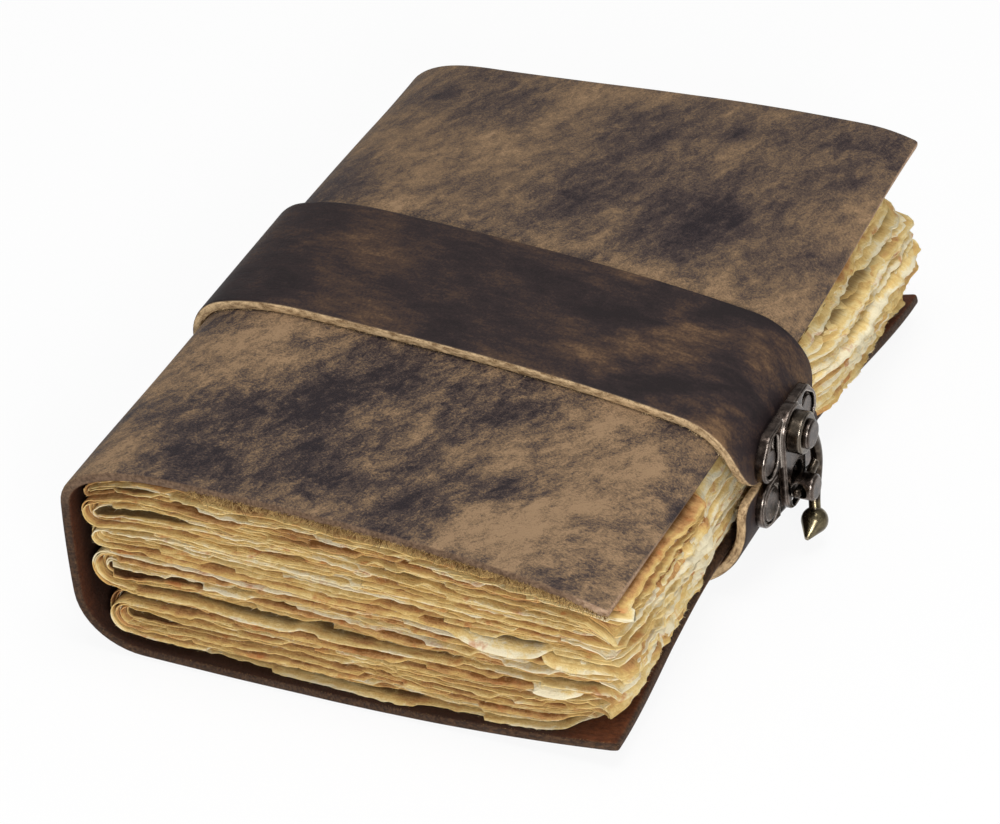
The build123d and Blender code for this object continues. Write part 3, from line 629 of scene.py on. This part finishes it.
def folded_sheet(section, sheet):
    """Points, faces and facts of one sheet folded over at the spine."""
    share, sheets, set_back, _ = SECTIONS[section]
    start = sum(s[0] for s in SECTIONS[:section])
    zero = np.zeros(1)
    block = board_height(20 + zero, zero, True) - board_height(20 + zero, zero, False) - 2 * PAGE_GAP
    fold = set_back + share * block[0] / 2
    seed = 100 * section + 10 * sheet
    both = (sheet, 2 * sheets - 1 - sheet)
    shares = [start + share * (leaf + 0.5) / (2 * sheets) for leaf in both]
    flaps = [float((leaf + 2 * section) % FLAP_EVERY == 0) for leaf in both]
    steps = round((LEAF_X - fold) / LEAF_STEP)
    flat = np.linspace(0, 1, steps)
    turn = np.radians(np.linspace(0, 180, FOLD_STEPS)[1:-1])
    rows = len(DECKLE_ROWS)
    side = rows + steps
    leaf_run = np.arange(side) * LEAF_STEP
    u = np.concatenate([leaf_run, side * LEAF_STEP + turn, (side + 4) * LEAF_STEP + leaf_run])
    first_leaf = np.arange(len(u)) < len(u) / 2
    hang = np.zeros(len(u))
    for flap_section, leaf, place, half_length, drop in END_FLAPS:
        if flap_section == section and leaf == sheet:
            hang = drop * np.exp(-((LEAF_X - u - place) / half_length) ** 4)
    flap_edge = 0.15 * ripple(u / 1.7, u / 5, seed + 9) * (hang > 0.5)
    torn = torn_end(u, seed) * (1 - np.minimum(hang, 1)) + flap_edge
    near, far = (-PAGE_END + torn)[:, None], (PAGE_END - torn_end(u, seed + 5))[:, None]
    inner = np.linspace(0, 1, round(2 * PAGE_END / LEAF_STEP))[1:-1]
    near_in, far_in = near + DECKLE_ROWS[-1], far - DECKLE_ROWS[-1]
    y = np.column_stack([near + DECKLE_ROWS, near_in + (far_in - near_in) * inner, far - DECKLE_ROWS[::-1]])
    x, z, spring = np.zeros_like(y), np.zeros_like(y), np.zeros_like(y)
    out = np.zeros((2,) + y.shape)
    lower, upper = slice(0, side), slice(side + len(turn), None)
    bent = slice(side, side + len(turn))
    root = []
    for part, leaf, height, flap in zip((lower, upper), both, shares, flaps):
        reach = fore_edge(height, y[part], seed + (50 if part is upper else 0), flap)
        span = np.concatenate([np.zeros(rows), flat])[:, None]
        inset = np.concatenate([DECKLE_ROWS, np.full(steps, DECKLE_ROWS[-1] + LEAF_STEP)])[:, None]
        if part is upper:
            span, inset = span[::-1], inset[::-1]
        x[part] = reach - inset + span * (fold - reach + inset)
        radii = (np.interp(height, *NEAR_CORNER_R), FAR_CORNER_R)
        round_leaf_corners(x[part], y[part], reach, near[part], far[part], radii)
        z[part] = leaf_height(section, leaf, x[part], y[part], fold)
        spring[part] = ease((x[part] - fold) / 18)
        out[1][part] = -1 if part is lower else 1
        root.append(leaf_height(section, leaf, np.full(y.shape[1], fold), y[side], fold))
    radius = (root[1] - root[0]) / 2
    bow = np.sin(turn)[:, None]
    x[bent] = fold - radius * bow
    z[bent] = (root[0] + root[1]) / 2 - radius * np.cos(turn)[:, None]
    out[0][bent] = -bow
    out[1][bent] = -np.cos(turn)[:, None]
    across = np.concatenate([DECKLE_ROWS, np.full(len(inner), INSIDE), DECKLE_ROWS[::-1]])
    down = np.full(len(u), INSIDE)
    down[:rows], down[-rows:] = DECKLE_ROWS, DECKLE_ROWS[::-1]
    across, down = np.broadcast_arrays(across[None, :], down[:, None])
    rim = np.minimum(across, down)
    half = np.interp(rim, DECKLE_ROWS, DECKLE_HALF) * (1 + 0.35 * lattice(section, sheet, 41))
    lies = np.where(first_leaf, *flaps)[:, None]
    limp = np.maximum((0.25 + 0.75 * lies) * (1 + 0.7 * ripple(u[:, None] / 19, y / 31, seed + 4)), 0.1)
    loose = np.abs(np.where(first_leaf, *shares) - LOOSE_SHARE) < LOOSE_NEAR
    limp = np.where(loose[:, None], 0.15, limp)
    fall = END_FALL * spring * np.exp(-across / END_FALL_LENGTH)
    fall = fall + hang[:, None] * np.exp(-across / 2.0) * (y < 0)
    fall = np.maximum(fall, FORE_FALL * limp * np.exp(-down / FORE_FALL_LENGTH))
    frayed = ripple(u[:, None] / 2.2, y / 2.2, seed + 3)
    crumpled = 0.4 * ripple(y / 4.3, down / 2.5, seed + 11) + 0.22 * ripple(y / 1.9, down / 1.4, seed + 12)
    z += 0.14 * frayed * np.exp(-rim / 0.8) + crumpled * np.exp(-down / 3) - fall
    z = np.maximum(z, board_height(x, y, False) + PAGE_GAP * 0.7)
    kept = (across < INSIDE) | (down < INSIDE)
    index = np.full(kept.shape, -1)
    index[kept] = np.arange(kept.sum())
    count = int(kept.sum())
    faces = ring_faces(index, rows, count)
    points = [in_frame((x + s * half * out[0])[kept], y[kept], (z + s * half * out[1])[kept])
              for s in (1, -1)]
    leaf_tint = np.where(first_leaf, lattice(section, sheet, 21), lattice(section, sheet, 22))
    tint = np.broadcast_to((0.5 + 0.5 * leaf_tint - 0.6 * np.minimum(hang, 1))[:, None], y.shape)[kept]
    at_fore = np.exp(-down / 6)[kept]
    where = np.column_stack([np.broadcast_to(u[:, None], y.shape)[kept], y[kept], np.full(count, seed)])
    # Painted shade in the slit: the inner face of a section's middle sheet counts as further from its edge, so
    # it takes the gaps' dark colour.
    slit_shade = 5.0 * (sheet == sheets - 1) * np.exp(-np.maximum(x - fold, 0) / 16)
    facts = [np.concatenate([values] * 2) for values in (tint, at_fore, where)]
    made = [np.concatenate(points), faces, np.concatenate([rim[kept], (rim * (1 + slit_shade))[kept]]), *facts]
    chance = np.random.default_rng(seed)
    grid = np.stack([x, y, z], axis=2)
    edges = [(grid[6:-6, 0], (0, -1, 0)), (grid[6:-6, -1], (0, 1, 0)),
             (grid[0, 6:-6], (1, 0, 0)), (grid[-1, 6:-6], (1, 0, 0))]
    for edge, away in edges:
        add_torn_fibres(made, edge, np.array(away, float), seed, chance)
    return made


def add_torn_fibres(made, edge, away, seed, chance):
    """Loose paper fibres along one torn edge, added to a sheet's points, faces and facts."""
    count = round(len(edge) * FIBRES_FOR_EACH_MM * LEAF_STEP)
    pick, share = chance.integers(0, len(edge) - 1, count), chance.uniform(0, 1, count)[:, None]
    root = edge[pick] * (1 - share) + edge[pick + 1] * share - 0.15 * away
    along = edge[pick + 1] - edge[pick]
    along = along / np.linalg.norm(along, axis=1)[:, None]
    lean = chance.uniform(0.2, 1, count)[:, None] * away + chance.uniform(-1.2, 1.2, count)[:, None] * along
    lean[:, 2] += chance.uniform(-0.8, 0.4, count)
    tip = root + lean * chance.uniform(*PAPER_FIBRE_L, count)[:, None]
    side = np.array([0, 0, PAPER_FIBRE_W / 2])
    points = np.stack([root - side, root + side, tip], axis=1).reshape(-1, 3)
    first = len(made[0]) + 3 * np.arange(count)
    made[0] = np.concatenate([made[0], in_frame(points[:, 0], points[:, 1], points[:, 2])])
    made[1] = made[1] + np.column_stack([first, first + 1, first + 2]).tolist()
    shade = np.repeat(chance.uniform(0, 0.7, count), 3)
    where = np.column_stack([points[:, 0], points[:, 1], np.full(3 * count, seed)])
    for slot, values in zip((2, 3, 4, 5), (0 * shade, shade, 0.5 + 0 * shade, where)):
        made[slot] = np.concatenate([made[slot], values])


def ring_faces(index, rows, count):
    """Faces of a sheet that is finely divided only along its edges, on both sides, with its rim closed."""
    a, b, c, d = index[:-1, :-1], index[1:, :-1], index[1:, 1:], index[:-1, 1:]
    whole = (a >= 0) & (b >= 0) & (c >= 0) & (d >= 0)
    quads = np.column_stack([q[whole] for q in (a, b, c, d)]).tolist()
    low, high = rows - 1, index.shape[1] - rows
    first, last = rows - 1, index.shape[0] - rows
    middle = slice(low, high + 1)
    for i in range(first + 1, last - 1):
        quads.append(index[[i, i + 1, i + 1, i], [low, low, high, high]].tolist())
    quads.append(index[first, middle][::-1].tolist() + index[first + 1, [low, high]].tolist())
    quads.append(index[last, middle].tolist() + index[last - 1, [high, low]].tolist())
    other = [[v + count for v in q[::-1]] for q in quads]
    rim = np.concatenate([index[:-1, 0], index[-1, :-1], index[:0:-1, -1], index[0, :0:-1]])
    follow = np.roll(rim, -1)
    wall = np.column_stack([rim, rim + count, follow + count, follow]).tolist()
    return quads + other + wall


def paper_finish():
    """Cream rag paper, each leaf its own tint, yellow-brown and fibrous towards its torn edges, with painted
    shade inward of the edges, deep between the leaves and in the slits.
    """
    finish, tree, shader = new_finish("deckle_paper")
    where = fact(tree, "where", "Vector")
    at_fore = fact(tree, "fore")
    fibre = cloud(tree, where, 0.9, 5, 0.75)
    end_streak = cloud(tree, where, 1.2, 4, 0.7, (0.3, 1.4, 1))
    fore_streak = cloud(tree, where, 1.6, 4, 0.7, (1.3, 0.3, 1))
    streak = put(tree, "Mix", {0: at_fore, 2: end_streak, 3: fore_streak}).outputs[0]
    patch = cloud(tree, where, 13.0, 6, 0.62)
    blot = cloud(tree, where, 6.0, 5, 0.65, (1, 1, 1.7))
    tint = maths(tree, "MULTIPLY_ADD", fact(tree, "tint"), 0.8, 0.1)
    for uneven, swing in ((patch, 1.6), (streak, 0.8), (fibre, 0.7)):
        tint = centred(tree, uneven, swing, tint)
    tint = maths(tree, "MULTIPLY_ADD", at_fore, -0.22, tint)
    rim = fact(tree, "rim")
    # Painted light and shade: the paper is lighter right at its torn edge and browner just inward of it.
    tint = maths(tree, "MULTIPLY_ADD", step(tree, rim, 0.1, 1.4), 0.3, maths(tree, "SUBTRACT", tint, 0.12))
    colour = ramp(tree, tint, [(0.0, srgb(244, 232, 198)), (0.22, srgb(240, 214, 150)),
                               (0.5, srgb(222, 186, 116)), (0.76, srgb(200, 152, 98)),
                               (1.0, srgb(148, 100, 56))])
    near_edge = maths(tree, "SUBTRACT", 1.0, step(tree, rim, 0.4, 4.0))
    rust = maths(tree, "MULTIPLY", near_edge, step(tree, blot, 0.55, 0.7))
    colour = blend_colour(tree, maths(tree, "MULTIPLY", rust, 0.7), colour, srgb(198, 120, 70))
    # Painted shade: paper far in from its torn edge, and in the slits, takes a dark red-brown, a little less of
    # it at the fore-edge.
    shaded = maths(tree, "MULTIPLY_ADD", at_fore, -0.35, 0.9)
    painted_gap_shade = maths(tree, "MULTIPLY", step(tree, rim, 1.3, 4.2), shaded)
    colour = blend_colour(tree, painted_gap_shade, colour, srgb(66, 36, 20))
    surface(tree, shader, colour, 0.9, 0.12)
    relief(tree, shader, maths(tree, "MULTIPLY_ADD", fibre, 1.0, streak), 0.9, 0.0006)
    return finish


LEAF_CORNER_DEG = 38
paper = paper_finish()
for section, (_, sheets, _, _) in enumerate(SECTIONS):
    made = [folded_sheet(section, sheet) for sheet in range(sheets)]
    starts = np.cumsum([0] + [len(points) for points, *_ in made])
    faces = [[v + int(start) for v in face] for (_, fs, *_), start in zip(made, starts) for face in fs]
    points, rim, tint, at_fore, where = [np.concatenate([m[k] for m in made]) for k in (0, 2, 3, 4, 5)]
    leaves = piece(f"page_section_{section + 1}", points, faces,
                   rim=rim, tint=tint, fore=at_fore, where=where)
    leaves.data.set_sharp_from_angle(angle=radians(LEAF_CORNER_DEG))
    leaves.data.materials.append(paper)
    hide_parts("pages")
    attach(leaves, "journal")

# Strap: a wide belt of the same leather, dyed nearly black, right round the middle of the closed book.
# Its two ends meet at the fore-edge, where the clasp joins them, and its cut edges are pale and fuzzy.
strap_low, strap_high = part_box("strap")
STRAP_T = 2.4
STRAP_OUT = 2.55
STRAP_MEET_Z = 25.8
STRAP_END_GAP = 0.8
STRAP_DRIFT = 3.6
STRAP_REACH = 133.5
STRAP_BEND_ENDS = (21.0, 30.0)
STRAP_CORNER_R = (4.0, 12.0)
STRAP_SPACING = 1.2
# The rubbed bend begins this far from the spine and this high.
WORN_X, WORN_LENGTH, WORN_Z, WORN_RISE = 78, 34, 30, 8


def strap_knots(y):
    """The strap follows the cover's outside, then drops down the fore-edge to its two ends."""
    upright = STRAP_REACH - STRAP_OUT
    low = [(upright, STRAP_MEET_Z - STRAP_END_GAP / 2, 270), (upright, STRAP_BEND_ENDS[0], 270)]
    high = [(upright, STRAP_BEND_ENDS[1], -90), (upright, STRAP_MEET_Z + STRAP_END_GAP / 2, -90)]
    return outward(np.array(low + PRESSED[1:-1] + high, float), STRAP_OUT)


def strap_drift(x):
    """The strap lies a little askew, nearer the middle of the book at the spine."""
    return STRAP_DRIFT * (1 - np.clip(x / STRAP_REACH, 0, 1))


strap_lines = length_lines(strap_low.y / MM, strap_high.y / MM, STRAP_SPACING)
strap = leather_sheet("strap_leather", strap_knots, strap_lines, STRAP_SPACING, strap_drift, STRAP_CORNER_R,
                      STRAP_T, 0.0)


def bend_wear(made):
    """The strap is rubbed brown where it bends down over the fore-edge."""
    x, _, z = mesh_places(made)
    add_fact(made, "worn", ease((x - WORN_X) / WORN_LENGTH) * ease((z - WORN_Z) / WORN_RISE))


bend_wear(strap)


def strap_finish():
    """Nearly black leather with faint brown wear, and pale tan fuzzy cut edges."""
    finish, tree, shader = new_finish("dark_strap_leather")
    flat = fact(tree, "flat", "Vector")
    broad = cloud(tree, flat, 19.0, 8, 0.64, (0.7, 1.1, 1), 0.3)
    strokes = cloud(tree, flat, 2.6, 5, 0.68, (0.5, 1.3, 1))
    grit = cloud(tree, flat, 0.7, 4, 0.75)
    worn = fact(tree, "worn")
    wear = centred(tree, broad, maths(tree, "MULTIPLY_ADD", worn, 1.5, 1.7), 0.45)
    wear = centred(tree, strokes, 0.7, centred(tree, grit, 0.8, wear))
    outside = ramp(tree, wear, [(0.15, srgb(36, 29, 30)), (0.42, srgb(48, 38, 38)), (0.66, srgb(72, 55, 45)),
                                (0.95, srgb(112, 86, 62))])
    fibre = cloud(tree, through_sheet(tree, flat), 1.0, 4, 0.75, (0.35, 1, 1))
    edge = blend_colour(tree, step(tree, fibre, 0.3, 0.66), srgb(116, 90, 62), srgb(216, 186, 144))
    depth = fact(tree, "depth")
    colour = blend_colour(tree, step(tree, depth, 0.02, 0.14), outside, edge)
    colour = blend_colour(tree, step(tree, depth, 0.84, 0.98), colour, srgb(96, 62, 40))
    surface(tree, shader, colour, between(tree, strokes, 0.5, 0.75), 0.16)
    relief(tree, shader, maths(tree, "MULTIPLY_ADD", grit, 0.8, strokes), 0.5, 0.0003)
    return finish


strap.data.materials.append(strap_finish())
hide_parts("strap")
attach(strap, "journal")
# Fibres of both of the strap's edges: depths in the sheet, lengths, fibres for each mm.
STRAP_FRINGE = ((0.05, 1.0), (0.2, 0.9), 14.0)
STRAP_FRINGE_SEED = 17
pale_fibre = fibre_finish("pale_leather_fibre", srgb(124, 96, 64), srgb(214, 188, 146))
for number, (out, edge_y) in enumerate(((-1, strap_lines[0]), (1, strap_lines[-1]))):
    fringe = cut_fibres(f"strap_fibres_{number + 1}", strap_knots(0), edge_y, strap_drift, out, *STRAP_FRINGE,
                        STRAP_FRINGE_SEED)
    fringe.data.materials.append(pale_fibre)
    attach(fringe, "journal")

# Binding thread: waxed linen, sewn in long stitches through the spine leather and the folds of the pages.
# The stitches show on the outside of the spine, on both sides of the strap.
MADE_CORNER_DEG = 32


def thread_finish():
    """Twisted waxed linen."""
    finish, tree, shader = new_finish("waxed_linen")
    place = put(tree, "TexCoord").outputs["Object"]
    twist = put(tree, "Mapping", {"Vector": place, "Rotation": (0.6, 0, 0.7)}).outputs[0]
    ply = put(tree, "TexWave", {"Vector": twist, "Scale": 700.0, "Distortion": 1.5}).outputs["Fac"]
    colour = blend_colour(tree, ply, srgb(150, 128, 96), srgb(188, 166, 128))
    tree.links.new(colour, shader.inputs["Base Color"])
    shader.inputs["Roughness"].default_value = 0.75
    relief(tree, shader, ply, 0.6, 0.0002)
    return finish


def dress(node, finish):
    """A finish and smooth shading for a made piece, with its real corners kept crisp."""
    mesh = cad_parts[node].data
    mesh.polygons.foreach_set("use_smooth", [True] * len(mesh.polygons))
    mesh.set_sharp_from_angle(angle=radians(MADE_CORNER_DEG))
    mesh.materials.clear()
    mesh.materials.append(finish)


dress("binding_thread", thread_finish())

# Clasp: cast plates riveted to the strap's two ends, a post with an eye, and a lever that hooks into it.
# The metal is dark antique gunmetal, its edges painted bright as rubbed metal and as highlights, and the
# lever's knob is antique brass.
KNOB_H = 7.0
NECK_H = 1.0
# How wide the bright edges are, painted as rubbed metal and as highlights.
EDGE_WEAR_AND_HIGHLIGHT_R = 0.0008


def clasp_finish(name, dark, tarnish, bright_wear_and_highlight, rough, knob_low=None):
    """Antiqued metal in patches of dark and tarnish, its edges painted bright as rubbed metal and as
    highlights, brass below a knob's neck.
    """
    finish, tree, shader = new_finish(name)
    place = put(tree, "TexCoord").outputs["Object"]
    soft = put(tree, "Bevel", {"Radius": EDGE_WEAR_AND_HIGHLIGHT_R}, samples=8).outputs[0]
    crisp = put(tree, "NewGeometry").outputs["Normal"]
    same = put(tree, "VectorMath", {0: soft, 1: crisp}, operation="DOT_PRODUCT").outputs["Value"]
    rub = cloud(tree, place, 0.0022, 5, 0.65)
    # Painted highlight and wear: edges found by the bevelled normal take the bright colour.
    edge = step(tree, maths(tree, "SUBTRACT", 1.0, same), 0.003, 0.2)
    worn = maths(tree, "MULTIPLY", edge, between(tree, rub, 0.2, 1.0))
    colour = blend_colour(tree, step(tree, rub, 0.35, 0.7), dark, tarnish)
    if knob_low is not None:
        height = put(tree, "SeparateXYZ", {0: place}).outputs[2]
        neck = [knob_low + level * MM for level in (KNOB_H, KNOB_H + NECK_H)]
        knob = maths(tree, "SUBTRACT", 1.0, step(tree, height, *neck))
        brass = blend_colour(tree, step(tree, rub, 0.35, 0.7), srgb(80, 72, 56), srgb(140, 129, 100))
        colour = blend_colour(tree, knob, colour, brass)
    colour = blend_colour(tree, worn, colour, bright_wear_and_highlight)
    tree.links.new(colour, shader.inputs["Base Color"])
    shader.inputs["Metallic"].default_value = 1.0
    tree.links.new(between(tree, rub, rough - 0.1, rough + 0.14), shader.inputs["Roughness"])
    pits = cloud(tree, place, 0.0006, 3, 0.6)
    bump = put(tree, "Bump", {"Height": pits, "Strength": 0.25, "Distance": 0.0001, "Normal": soft})
    tree.links.new(bump.outputs[0], shader.inputs["Normal"])
    return finish


# The last colour of each finish is its bright edge colour: rubbed metal and painted highlight.
gunmetal = clasp_finish("dark_gunmetal", srgb(54, 46, 42), srgb(110, 97, 89), srgb(228, 216, 204), 0.24)
for node in ("upper_plate", "lower_plate", "eye_post", "pivot_pin", "upper_rivets", "lower_rivets",
             "rivet_washers"):
    dress(node, gunmetal)
lever_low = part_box("swing_lever")[0].z
lever_metal = clasp_finish("gunmetal_and_brass", srgb(56, 49, 43), srgb(112, 101, 88), srgb(228, 216, 198),
                           0.23, lever_low)
dress("swing_lever", lever_metal)

# Floor and light: a plain pale floor, a wide soft lamp over the book and a weaker one from the right.
FLOOR_HALF = 3.0
FLOOR_GLOW = 0.9
LAMPS_FACE = Vector((0, 0, 0.03))
# The world's strength as a light, and how much more of it the camera sees.
WORLD_LIGHT, WORLD_SEEN = 0.4, 0.6


def floor_finish():
    """Nearly white floor that keeps a soft shadow."""
    finish, tree, shader = new_finish("pale_floor")
    shader.inputs["Base Color"].default_value = (0.86, 0.86, 0.86, 1)
    shader.inputs["Roughness"].default_value = 0.9
    ray = put(tree, "LightPath")
    seen = maths(tree, "ADD", ray.outputs["Is Camera Ray"], ray.outputs["Is Glossy Ray"], clamp=True)
    seen = maths(tree, "ADD", seen, ray.outputs["Is Transmission Ray"], clamp=True)
    white = put(tree, "Emission", {"Color": (1, 1, 1, 1), "Strength": 1.0}).outputs[0]
    share = maths(tree, "MULTIPLY", seen, FLOOR_GLOW)
    mixed = put(tree, "MixShader", {0: share, 1: shader.outputs[0], 2: white})
    tree.links.new(mixed.outputs[0], tree.nodes["Material Output"].inputs["Surface"])
    return finish


corners = np.array([(-1, -1, 0), (1, -1, 0), (1, 1, 0), (-1, 1, 0)], float) * FLOOR_HALF
floor = piece("floor", corners, [[0, 1, 2, 3]], smooth=False)
floor.data.materials.append(floor_finish())


def soft_lamp(name, place, size, power):
    """A square soft lamp that faces the book."""
    lamp = bpy.data.lights.new(name, "AREA")
    lamp.size = size
    lamp.energy = power
    made = bpy.data.objects.new(name, lamp)
    made.location = place
    made.rotation_mode = "QUATERNION"
    made.rotation_quaternion = (LAMPS_FACE - Vector(place)).to_track_quat("-Z", "Y")
    bpy.context.scene.collection.objects.link(made)


soft_lamp("overhead_lamp", (0.15, -0.1, 1.1), 0.55, 6.5)
soft_lamp("right_lamp", (0.6, -0.9, 0.55), 0.28, 7.0)

world = bpy.data.worlds.new("studio")
world.use_nodes = True
bpy.context.scene.world = world
world_ray = put(world.node_tree, "LightPath").outputs["Is Camera Ray"]
world_light = maths(world.node_tree, "MULTIPLY_ADD", world_ray, WORLD_SEEN, WORLD_LIGHT)
world.node_tree.links.new(world_light, world.node_tree.nodes["Background"].inputs["Strength"])
world.node_tree.nodes["Background"].inputs["Color"].default_value = (1, 1, 1, 1)
bpy.context.scene.view_settings.view_transform = "Standard"

# Camera: from the near right, looking down on the front board, with a long lens.
CAMERA_AZIMUTH = 27.264
CAMERA_HEIGHT_DEG = 35.35
CAMERA_ROLL = -4.978
CAMERA_AWAY = 1.177057
CAMERA_LENS = 187.2
CAMERA_SENSOR = 36.0
AIM = Vector((-0.003975, 0, 0.0252))
AIM_RIGHT, AIM_UP = -0.003232, -0.005019


def aim_camera():
    """The camera stands back along its view from a point by the book's middle, turned a little."""
    a, e, r = radians(CAMERA_AZIMUTH), radians(CAMERA_HEIGHT_DEG), radians(CAMERA_ROLL)
    back = Vector((sin(a) * cos(e), -cos(a) * cos(e), sin(e)))
    right = Vector((cos(a), sin(a), 0))
    up = back.cross(right)
    place = AIM + back * CAMERA_AWAY + right * AIM_RIGHT + up * AIM_UP
    across, above = right * cos(r) + up * sin(r), up * cos(r) - right * sin(r)
    view = bpy.data.cameras.new("camera")
    view.lens = CAMERA_LENS
    view.sensor_width = CAMERA_SENSOR
    view.clip_start, view.clip_end = 0.05, 20.0
    made = bpy.data.objects.new("camera", view)
    made.matrix_world = Matrix.Translation(place) @ Matrix((across, above, back)).transposed().to_4x4()
    bpy.context.scene.collection.objects.link(made)
    bpy.context.scene.camera = made


aim_camera()
